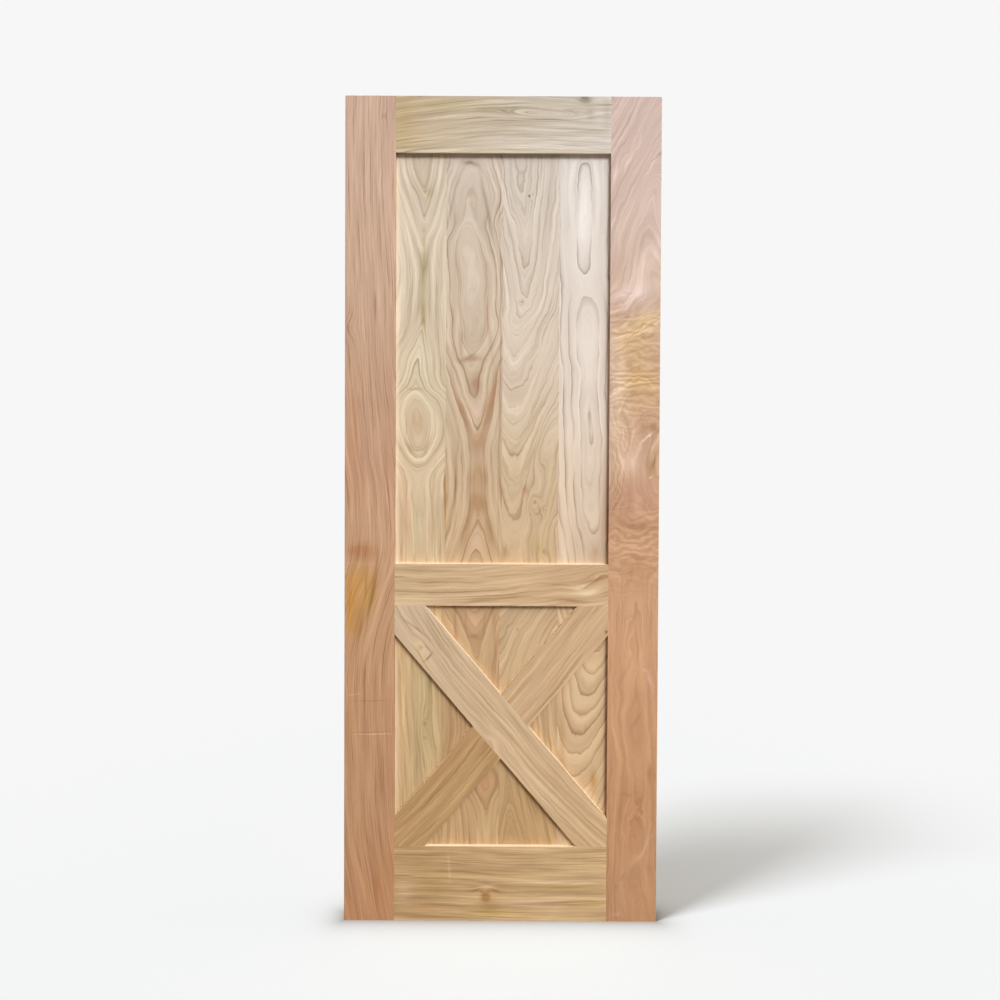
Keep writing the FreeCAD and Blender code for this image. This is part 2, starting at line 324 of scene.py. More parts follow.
def wood(
    name,
    tones,
    figure,
    turn=0, face=-0.02, ring_width=0.01, uneven=2.2, softness=0.16, wander=0.02, crinkle=0.008, seed=0,
    lines=BROWN_LINES, strengths=(0.3, 0.6, 0.3, 0.16), swells=(), knots=(), stains=(), quiet=(), curls=(),
    painted_highlights=(), cut_edges=0.0, wear=0.5,
):
    """A sawn board's material. Spots are given as x and height on the door's face, and leans in degrees.

    tones: (distance along the grain, colour), from the board's low end.
    figure: stations along the board, each with the x and height where the log's heart passes, how deep
        it lies behind the face, and how far the rings taper there.
    turn: the degrees that bring the grain upright, and face: where the board's face lies.
    strengths: of streaks, late wood, lines and fibres.
    swells: hills that bend the rings, as x, height, reach across, reach along, height of the hill, lean.
    knots: x, height, radius, how far its rings spread, darkness.
    stains: x, height, reach across, reach along, lean, colour, strength.
    quiet: spots where the figure is faint, as x, height, reach across, reach along, lean, how faint.
    curls: patches of rippled grain, as x, height, reach across, reach along, lean, spacing, strength.
    painted_highlights: pale strips painted along a panel's edges as highlights, as x, height, reach across,
    reach along, strength.
    cut_edges: how much paler the board's edge faces are painted than its flat faces, as a painted highlight.
    """
    made = bpy.data.materials.new(name)
    made.use_nodes = True
    tree = made.node_tree
    shader = tree.nodes["Principled BSDF"]
    door_to_board = Matrix.Rotation(math.radians(turn), 3, "Y")

    def on_board(x, z):
        return door_to_board @ Vector((x, 0, z))

    spots = [on_board(x, z) for x, z, _, _ in figure]
    middle_across = sum(spot.x for spot in spots) / len(spots)
    middle = Vector((middle_across, face, 0))
    places = use_group(
        tree,
        GRAIN_PLACE,
        {
            "Turn": (0, math.radians(turn), 0),
            "Middle": middle,
            "Seed": (seed * 7.3, seed * 3.1, seed * 5.7),
            "Wander": wander,
            "Crinkle": crinkle,
        },
    )

    def hill(x, z, across, along, lean):
        """A hill over one spot. It follows the grain, but one that reaches past a metre stays straight."""
        spot = {
            "Place": places["Straight" if max(across, along) > 1 else "Place"],
            "Centre": on_board(x, z) - middle,
            "Turn": (0, math.radians(lean), 0),
            "Reach": (across, 1, along),
        }
        return use_group(tree, SWELL, spot)["Rise"]

    along = split_axes(tree, places["Place"])["Z"]
    stations = [(spot.z, spot.x - middle_across, *row[2:]) for spot, row in zip(spots, figure)]
    heart = heart_line(tree, stations, along)
    distance = use_group(tree, RING_DISTANCE, {"Place": places["Place"], "Heart line": heart})["Distance"]
    for x, z, across, reach, height, lean in swells:
        distance = work_out(tree, "MULTIPLY_ADD", hill(x, z, across, reach, lean), height, distance)
    for x, z, radius, spread, _ in knots:
        bend = hill(x, z, radius * KNOT_BEND[0], radius * KNOT_BEND[1], 0)
        distance = work_out(tree, "MULTIPLY_ADD", bend, spread, distance)
    drawn = use_group(
        tree,
        FIGURE,
        {
            "Distance": distance,
            "Place": places["Straight"],
            "Ring width": ring_width,
            "Uneven": uneven,
            "Softness": softness,
            "Seed": seed * 11.3,
        },
    )

    # Tones along the grain: partly the wood's own, and partly painted light falloff.
    shade = tone_and_painted_falloff_along(tree, tones, along)
    for x, z, across, length, lean, tint, strength in stains:
        mask = work_out(tree, "MULTIPLY", hill(x, z, across, length, lean), strength)
        shade = blend_colour(tree, mask, shade, colour(*tint))
    for x, z, radius, _, darkness in knots:
        heart_of_knot = hill(x, z, radius * KNOT_HEART[0], radius * KNOT_HEART[1], 0)
        mask = work_out(tree, "MULTIPLY", heart_of_knot, darkness)
        shade = blend_colour(tree, mask, shade, colour(*KNOT_BROWN))

    streak_strength, late_strength, line_strength, fibre_strength = strengths
    swing = work_out(tree, "SUBTRACT", drawn["Streaks"], 0.5)
    amount = work_out(tree, "MULTIPLY", swing, streak_strength * 4)
    shade = use_group(tree, DARKEN, {"Colour": shade, "Amount": amount, "Shares": STREAK_SHARES})["Colour"]
    amount = work_out(tree, "MULTIPLY", drawn["Late wood"], late_strength)
    amount = work_out(tree, "MULTIPLY_ADD", drawn["Lines"], line_strength, amount)
    swing = work_out(tree, "SUBTRACT", drawn["Fibres"], 0.5)
    amount = work_out(tree, "MULTIPLY_ADD", swing, fibre_strength * 2, amount)
    for x, z, across, length, lean, faintness in quiet:
        kept = work_out(tree, "MULTIPLY_ADD", hill(x, z, across, length, lean), -faintness, 1.0)
        amount = work_out(tree, "MULTIPLY", amount, kept)
    for x, z, across, length, lean, spacing, strength in curls:
        patch = {"Place": places["Straight"], "Turn": (0, math.radians(lean), 0), "Spacing": spacing}
        near = work_out(tree, "MULTIPLY", hill(x, z, across, length, 0), strength)
        amount = work_out(tree, "MULTIPLY_ADD", use_group(tree, CURL, patch)["Ripples"], near, amount)
    amount = work_out(tree, "MULTIPLY_ADD", drawn["Pores"], PORE_DEPTH, amount)
    shade = use_group(tree, DARKEN, {"Colour": shade, "Amount": amount, "Shares": lines})["Colour"]

    # Pale strips painted along the panels' edges: painted highlights.
    for x, z, across, length, strength in painted_highlights:
        mask = work_out(tree, "MULTIPLY", hill(x, z, across, length, 0), strength)
        shade = blend_colour(tree, mask, shade, colour(*PAINTED_HIGHLIGHT_TONE))
    # Edge faces painted paler: a painted highlight.
    if cut_edges:
        edge = work_out(tree, "SUBTRACT", 1.0, squareness(tree))
        shade = blend_colour(tree, work_out(tree, "MULTIPLY", edge, cut_edges), shade, colour(*PAINTED_HIGHLIGHT_TONE))
    worn = use_group(tree, EDGE_WEAR, {"Place": places["Straight"]})["Wear"]
    shade = blend_colour(tree, work_out(tree, "MULTIPLY", worn, wear), shade, colour(*BARE_ARRIS))
    tree.links.new(shade, shader.inputs["Base Color"])

    gloss = work_out(tree, "MULTIPLY_ADD", drawn["Fibres"], 0.2, 0.4)
    tree.links.new(gloss, shader.inputs["Roughness"])
    height = work_out(tree, "MULTIPLY_ADD", drawn["Pores"], -1.0, drawn["Fibres"])
    bump = add_node(tree, "Bump", {"Height": height, "Strength": 0.25, "Distance": 0.0004})
    tree.links.new(bump.outputs[0], shader.inputs["Normal"])
    shader.inputs["Specular IOR Level"].default_value = 0.35
    return made


def finish_piece(node, **board):
    """Gives a CAD piece its wood, and eases its sharp edges by the little that sanding takes off."""
    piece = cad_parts[node]
    material = wood(node + "_wood", **board)
    for slot in piece.material_slots:
        slot.material = material
    weld = piece.modifiers.new("Joined faces", "WELD")
    weld.merge_threshold = 0.00001
    eased = piece.modifiers.new("Eased edges", "BEVEL")
    eased.width = 0.0006
    eased.segments = 2
    eased.limit_method = "ANGLE"
    eased.angle_limit = math.radians(40)
    eased.harden_normals = True


finish_piece(
    "left_stile",
    tones=[
        (0, (181, 133, 95)), (0.3, (184, 140, 104)), (0.55, (187, 143, 107)), (0.7, (192, 150, 113)),
        (1.05, (196, 156, 124)), (1.2, (194, 153, 123)), (1.5, (196, 161, 134)), (1.63, (200, 167, 142)),
        (2.134, (202, 170, 148)),
    ],
    figure=[
        (-0.083, 0.001, 0.03, 0.0), (-0.104, 0.129, 0.03, 0.003), (-0.122, 0.234, 0.03, 0.0),
        (-0.135, 0.417, 0.03, -0.003), (-0.138, 0.6, 0.03, 0.0), (-0.127, 0.704, 0.03, 0.004),
        (-0.094, 0.834, 0.03, 0.004), (-0.065, 0.938, 0.03, 0.0), (-0.066, 1.094, 0.03, -0.003),
        (-0.081, 1.249, 0.03, 0.0), (-0.094, 1.403, 0.03, 0.0), (-0.105, 1.609, 0.03, 0.0),
        (-0.115, 1.865, 0.03, 0.003), (-0.118, 2.131, 0.03, 0.0),
    ],
    ring_width=0.0095, wander=0.01, crinkle=0.003, seed=1, strengths=(0.22, 0.26, 0.5, 0.42),
    knots=[(0.098, 2.084, 0.006, 0.005, 0.4), (0.009, 1.538, 0.014, 0.016, 0.3)],
    quiet=[(0.068, 0.262, 0.1552, 0.2846, 0, 0.35)],
    stains=[
        (0.043, 0.963, 0.0336, 0.0181, 0, (184, 134, 94), 1.4),
        (0.046, 0.932, 0.0336, 0.0031, 0, (208, 164, 118), 0.7),
        (0.038, 0.861, 0.0362, 0.0492, 4, (197, 149, 92), 2.4),
        (0.015, 0.82, 0.0088, 0.0517, 4, (184, 130, 68), 1.1),
        (0.074, 0.872, 0.0078, 0.0517, 8, (176, 134, 78), 0.9),
        (0.028, 0.778, 0.0181, 0.044, 12, (186, 138, 84), 1.5),
        (0.015, 0.718, 0.0129, 0.0362, 0, (192, 144, 110), 0.6),
        (0.069, 0.836, 0.0036, 0.0776, 10, (144, 108, 58), 0.75),
        (0.056, 0.882, 0.0031, 0.0466, 3, (158, 116, 60), 0.6),
        (0.02, 0.835, 0.0031, 0.0673, 6, (206, 150, 66), 0.7),
        (0.041, 0.752, 0.0031, 0.0466, 10, (150, 114, 64), 0.6),
        (0.09, 0.836, 0.0052, 0.1293, 12, (206, 162, 132), 0.7),
        (0.091, 0.094, 0.0078, 0.0362, -12, (176, 112, 72), 0.45),
        (0.102, 0.136, 0.0207, 0.0621, 0, (178, 132, 90), 0.6),
        (0.07, 0.194, 0.0041, 0.0414, -14, (160, 116, 84), 0.6),
        (0.096, 0.215, 0.0036, 0.0414, -8, (162, 114, 82), 0.55),
        (0.029, 0.314, 0.0103, 0.1293, 0, (194, 150, 112), 0.5),
        (0.026, 0.591, 0.0181, 0.0016, 0, (214, 172, 140), 0.6),
        (0.067, 0.573, 0.0466, 0.0013, 0, (158, 114, 82), 0.55),
        (0.072, 0.492, 0.0466, 0.0013, -1, (156, 112, 80), 0.6),
        (0.078, 0.488, 0.0414, 0.0016, -1, (228, 186, 152), 0.65),
        (0.019, 1.25, 0.0207, 0.1811, 0, (190, 140, 105), 0.5),
    ],
)


# Right stile
# The same upright from a wilder log: flame figure at its head, curly ochre grain and a burl below. It is
# planed, sanded and mortised like the left one. It alone has the ripples of curly grain, made here.
def make_curl_group():
    """The soft ripples of curly grain: above 0 on their dark sides, and below it on their pale ones."""
    group, given, wanted = new_group(
        "Curl", {"Place": "Vector", "Turn": "Vector", "Spacing": "Float"}, {"Ripples": "Float"}
    )
    spot = {"Vector": given["Place"], "Rotation": given["Turn"]}
    turned = add_node(group, "Mapping", spot, vector_type="TEXTURE").outputs[0]
    drift = noise(group, work_out_vector(group, "MULTIPLY", turned, (13, 13, 22)), detail=2.0)
    patchy = add_node(group, "SeparateColor", {0: drift["Color"]}).outputs[1]
    patchy = rescale(group, patchy, 0.36, 0.6, 0.3, 0.5)
    waves = work_out(group, "DIVIDE", split_axes(group, turned)["Z"], given["Spacing"])
    waves = work_out(group, "MULTIPLY_ADD", drift[0], 5.0, waves)
    ripples = work_out(group, "SINE", work_out(group, "MULTIPLY", waves, 2 * math.pi))
    group.links.new(work_out(group, "MULTIPLY", ripples, patchy), wanted["Ripples"])
    return group


CURL = make_curl_group()
finish_piece(
    "right_stile",
    tones=[
        (0, (184, 139, 101)), (0.5, (197, 150, 111)), (0.95, (205, 160, 123)), (1.05, (196, 152, 118)),
        (1.2, (203, 165, 136)), (1.4, (200, 163, 131)), (1.5, (208, 173, 150)), (1.7, (205, 177, 158)),
        (1.8, (208, 184, 169)), (2.134, (205, 179, 168)),
    ],
    figure=[
        (0.771, 0.008, 0.03, -0.11), (0.755, 0.163, 0.03, -0.105), (0.764, 0.32, 0.03, -0.1),
        (0.757, 0.581, 0.03, -0.105), (0.751, 0.737, 0.03, -0.098), (0.755, 0.862, 0.06, -0.09),
        (0.755, 0.906, 0.15, -0.084), (0.757, 0.945, 0.25, -0.098), (0.759, 0.997, 0.25, -0.128),
        (0.79, 1.062, 0.15, -0.165), (0.805, 1.101, 0.06, -0.188), (0.82, 1.152, 0.03, -0.205),
        (0.825, 1.217, 0.03, -0.216), (0.819, 1.256, 0.03, -0.205), (0.803, 1.294, 0.06, -0.185),
        (0.769, 1.359, 0.12, -0.15), (0.787, 1.449, 0.2, -0.092), (0.817, 1.539, 0.2, -0.044),
        (0.827, 1.608, 0.12, -0.018), (0.795, 1.667, 0.02, -0.006), (0.787, 1.718, 0.012, 0.004),
        (0.784, 1.828, 0.008, 0.034), (0.814, 1.949, 0.02, 0.072), (0.859, 2.135, 0.02, 0.125),
    ],
    ring_width=0.009, softness=0.4, wander=0.03, crinkle=0.011, seed=2, strengths=(0.24, 0.6, 0.35, 0.1),
    quiet=[
        (0.747, 1.923, 0.1552, 0.2328, 0, 0.6), (0.748, 1.769, 0.1552, 0.0776, 0, 0.6),
        (0.749, 1.646, 0.1552, 0.0569, 0, 0.75), (0.751, 1.423, 0.1552, 0.1552, 0, 0.75),
        (0.768, 1.168, 0.0492, 0.1138, 0, 0.9), (0.749, 0.984, 0.1552, 0.1035, 0, 0.75),
        (0.752, 0.529, 0.1552, 0.2846, 0, 0.8), (0.771, 0.11, 0.1552, 0.1552, 0, 0.45),
    ],
    curls=[
        (0.745, 1.549, 0.088, 0.0517, -20, 0.0233, 0.42), (0.746, 1.4, 0.0931, 0.1087, 0, 0.0181, 0.5),
        (0.749, 0.984, 0.0931, 0.0931, 0, 0.0233, 0.4), (0.706, 1.203, 0.0259, 0.1035, 75, 0.0155, 0.3),
    ],
    swells=[(0.763, 1.224, 0.0207, 0.031, 0.02, 20), (0.776, 1.1, 0.0259, 0.0207, 0.012, 0)],
    stains=[
        (0.748, 1.111, 0.0466, 0.0388, 0, (194, 148, 122), 0.8),
        (0.754, 0.945, 0.031, 0.0103, 0, (190, 138, 96), 0.5),
        (0.765, 0.924, 0.0129, 0.0078, 0, (176, 136, 78), 0.5),
        (0.754, 1.023, 0.0207, 0.0129, 0, (184, 140, 92), 0.5),
        (0.749, 1.636, 0.0673, 0.0259, -20, (230, 207, 194), 0.9),
        (0.76, 1.554, 0.0673, 0.0259, -24, (218, 186, 140), 1.0),
        (0.75, 1.5, 0.0569, 0.0362, -6, (219, 185, 126), 0.6),
        (0.742, 1.577, 0.0492, 0.0026, -17, (196, 150, 106), 0.6),
        (0.742, 1.544, 0.0517, 0.0028, -19, (192, 146, 100), 0.65),
        (0.745, 1.513, 0.0492, 0.0028, -11, (192, 146, 98), 0.6),
        (0.748, 1.487, 0.0492, 0.0028, -10, (190, 146, 98), 0.6),
        (0.746, 1.41, 0.0673, 0.0621, 0, (214, 176, 116), 0.6),
        (0.737, 1.198, 0.0207, 0.031, 0, (228, 196, 172), 0.9),
        (0.794, 1.188, 0.0103, 0.0259, 0, (170, 130, 88), 0.75),
        (0.791, 1.284, 0.0155, 0.0129, -10, (170, 126, 90), 0.75),
        (0.78, 1.255, 0.0021, 0.0207, 39, (248, 224, 198), 0.85),
        (0.742, 1.255, 0.0031, 0.0207, 12, (232, 204, 178), 0.6),
        (0.763, 1.224, 0.0026, 0.0155, 20, (228, 196, 170), 0.5),
        (0.791, 1.16, 0.0065, 0.0023, -25, (244, 214, 186), 0.7),
        (0.801, 1.199, 0.0018, 0.0181, 10, (118, 84, 50), 0.6),
        (0.705, 1.358, 0.0181, 0.1552, 0, (228, 200, 170), 0.75),
        (0.689, 1.409, 0.0078, 0.1811, 0, (214, 190, 172), 0.6),
        (0.759, 1.693, 0.0259, 0.0621, 25, (236, 212, 198), 0.7),
        (0.736, 1.698, 0.0034, 0.0517, 11, (198, 170, 152), 0.7),
        (0.726, 1.631, 0.0207, 0.0031, -6, (204, 172, 152), 0.5),
        (0.803, 1.744, 0.0103, 0.0414, 0, (238, 216, 202), 0.6),
        (0.756, 2.089, 0.0362, 0.0362, 20, (204, 186, 174), 0.5),
        (0.732, 1.974, 0.0031, 0.031, 24, (240, 222, 206), 0.7),
        (0.757, 2.02, 0.0026, 0.0233, 20, (238, 220, 206), 0.5),
        (0.698, 1.943, 0.0039, 0.0259, 18, (244, 226, 206), 0.7),
        (0.793, 1.961, 0.0034, 0.0259, 30, (236, 212, 200), 0.6),
        (0.759, 0.706, 0.0041, 0.0621, -5, (180, 134, 100), 0.55),
        (0.73, 0.664, 0.0041, 0.0362, 20, (180, 134, 100), 0.55),
        (0.74, 0.799, 0.0259, 0.0052, -20, (182, 138, 106), 0.45),
        (0.795, 0.628, 0.0039, 0.0259, -12, (228, 182, 152), 0.7),
        (0.785, 0.652, 0.0103, 0.0031, 15, (222, 176, 146), 0.6),
        (0.783, 0.581, 0.0041, 0.0233, -16, (184, 136, 104), 0.5),
        (0.762, 0.524, 0.0047, 0.0285, 38, (176, 130, 98), 0.5),
        (0.708, 0.463, 0.0052, 0.0466, -14, (206, 166, 118), 0.6),
        (0.747, 0.477, 0.0233, 0.0233, 0, (192, 142, 106), 0.5),
        (0.795, 0.388, 0.0062, 0.0181, 0, (168, 126, 74), 0.65),
        (0.735, 0.338, 0.0155, 0.0047, -12, (170, 124, 80), 0.55),
        (0.761, 0.288, 0.0034, 0.0466, -6, (172, 122, 84), 0.5),
        (0.723, 0.28, 0.0034, 0.0569, -6, (176, 126, 84), 0.4),
        (0.738, 0.254, 0.0285, 0.0776, 0, (188, 138, 98), 0.55),
        (0.77, 0.184, 0.0067, 0.0569, 36, (210, 166, 132), 0.65),
        (0.724, 0.126, 0.0047, 0.0129, 35, (160, 112, 78), 0.6),
        (0.708, 0.099, 0.0062, 0.0078, 0, (166, 120, 84), 0.5),
        (0.796, 0.142, 0.0078, 0.0103, 0, (176, 124, 90), 0.5),
        (0.776, 0.068, 0.0047, 0.0155, 40, (176, 134, 98), 0.5),
        (0.714, 0.018, 0.0129, 0.0052, 0, (212, 158, 136), 0.5),
    ],
)


# Rails
# Three cross members between the stiles, with their grain running level. They are planed and sanded, and
# held by tenons at their ends in the stiles' mortises. Their tones run from one stile to the other.
LEVEL = -90
OLIVE_LINES = (0.97, 1.0, 1.45)
STILE_WIDTH = 0.13
STILE_EDGES = (STILE_WIDTH, cad_box[1][0] - STILE_WIDTH)
finish_piece(
    "top_rail",
    tones=[(STILE_EDGES[0], (196, 175, 143)), (STILE_EDGES[1], (206, 196, 184))],
    figure=[
        (0.131, 1.893, 0.03, 0.0), (0.244, 1.909, 0.03, 0.0), (0.398, 1.92, 0.03, -0.002),
        (0.552, 1.921, 0.03, 0.0), (0.683, 1.92, 0.03, 0.002),
    ],
    turn=LEVEL, seed=3, lines=OLIVE_LINES, ring_width=0.014, wander=0.006, crinkle=0.004,
    strengths=(0.28, 0.36, 0.4, 0.26),
    swells=[(0.513, 2.087, 0.0119, 0.1087, 0.03, 2), (0.615, 2.128, 0.0129, 0.0155, 0.018, 0)],
    stains=[
        (0.454, 2.081, 0.0041, 0.0233, 3, (216, 204, 176), 0.7),
        (0.526, 2.074, 0.0023, 0.088, 2, (140, 126, 98), 0.7),
        (0.513, 2.1, 0.0023, 0.088, 4, (150, 136, 108), 0.6),
        (0.615, 2.128, 0.0116, 0.0155, 0, (124, 104, 78), 1.2),
        (0.628, 2.09, 0.0155, 0.0103, 0, (160, 146, 122), 0.5),
        (0.146, 2.066, 0.0776, 0.0388, 0, (188, 163, 116), 0.7),
        (0.244, 2.113, 0.0181, 0.1035, 0, (186, 166, 122), 0.5),
        (0.564, 2.118, 0.0181, 0.119, 0, (190, 178, 156), 0.5),
        (0.552, 2.021, 0.0181, 0.1552, 0, (217, 207, 194), 0.6),
        (0.669, 2.101, 0.0517, 0.0103, 0, (172, 162, 146), 0.4),
        (0.408, 1.994, 0.0047, 3.0, 0, (228, 214, 190), 0.6),
    ],
)
finish_piece(
    "middle_rail",
    tones=[(STILE_EDGES[0], (205, 177, 139)), (STILE_EDGES[1], (204, 170, 131))],
    figure=[
        (0.134, 0.732, 0.02, 0.0), (0.3, 0.734, 0.02, 0.003), (0.481, 0.745, 0.02, 0.0),
        (0.598, 0.757, 0.02, -0.004), (0.686, 0.778, 0.02, 0.0),
    ],
    # Its edge faces are painted paler, as a painted highlight.
    turn=LEVEL, seed=4, cut_edges=0.85, ring_width=0.014, wander=0.006, crinkle=0.006,
    strengths=(0.3, 0.4, 0.5, 0.26),
    swells=[(0.618, 0.861, 0.0181, 0.0466, 0.014, 0), (0.667, 0.908, 0.0155, 0.0362, -0.012, 0)],
    stains=[
        (0.623, 0.861, 0.0129, 0.0362, 0, (230, 204, 168), 1.0),
        (0.589, 0.837, 0.0052, 0.0414, 6, (170, 132, 94), 0.9),
        (0.649, 0.892, 0.0041, 0.0362, -14, (172, 136, 98), 0.9),
        (0.558, 0.878, 0.0026, 0.0673, 5, (172, 138, 100), 0.5),
        (0.413, 0.828, 0.0031, 3.0, 0, (222, 192, 158), 0.6),
    ],
)
finish_piece(
    "bottom_rail",
    tones=[(STILE_EDGES[0], (183, 149, 105)), (STILE_EDGES[1], (202, 170, 127))],
    figure=[
        (0.135, 0.299, 0.02, 0.0), (0.276, 0.295, 0.02, 0.002), (0.457, 0.291, 0.02, 0.0),
        (0.683, 0.296, 0.02, -0.002),
    ],
    # Its edge faces are painted paler, as a painted highlight.
    turn=LEVEL, seed=5, cut_edges=1.0, wander=0.0025, crinkle=0.002, strengths=(0.4, 0.18, 0.45, 0.4),
    swells=[(0.37, 0.081, 0.0088, 0.0233, 0.018, 0)],
    stains=[
        (0.37, 0.079, 0.0041, 0.0362, 0, (150, 108, 66), 1.0),
        (0.37, 0.062, 0.0129, 0.0116, 0, (154, 112, 66), 1.6),
        (0.37, 0.09, 0.0052, 0.0207, 0, (220, 184, 140), 1.1),
        (0.37, 0.1, 0.0023, 0.0259, 0, (166, 126, 84), 0.8),
        (0.381, 0.034, 0.0233, 0.0259, 0, (168, 136, 86), 0.65),
        (0.563, 0.085, 0.0091, 0.1293, 0, (170, 140, 90), 0.9),
        (0.562, 0.101, 0.0041, 0.119, 0, (222, 190, 152), 0.8),
        (0.276, 0.13, 0.0031, 0.1552, 0, (160, 130, 84), 0.7),
        (0.224, 0.032, 0.0091, 0.031, 0, (186, 140, 100), 0.6),
        (0.154, 0.071, 0.0362, 0.0233, 0, (204, 172, 134), 0.6),
        (0.229, 0.093, 0.0414, 0.0362, 0, (172, 142, 92), 0.55),
        (0.407, 0.023, 0.0052, 0.0673, 0, (186, 156, 84), 0.6),
        (0.511, 0.05, 0.0129, 0.0776, 0, (208, 172, 138), 0.55),
        (0.641, 0.044, 0.0103, 0.0517, 0, (180, 150, 92), 0.5),
        (0.274, 0.138, 0.031, 0.0036, -4, (214, 180, 136), 0.5),
    ],
)
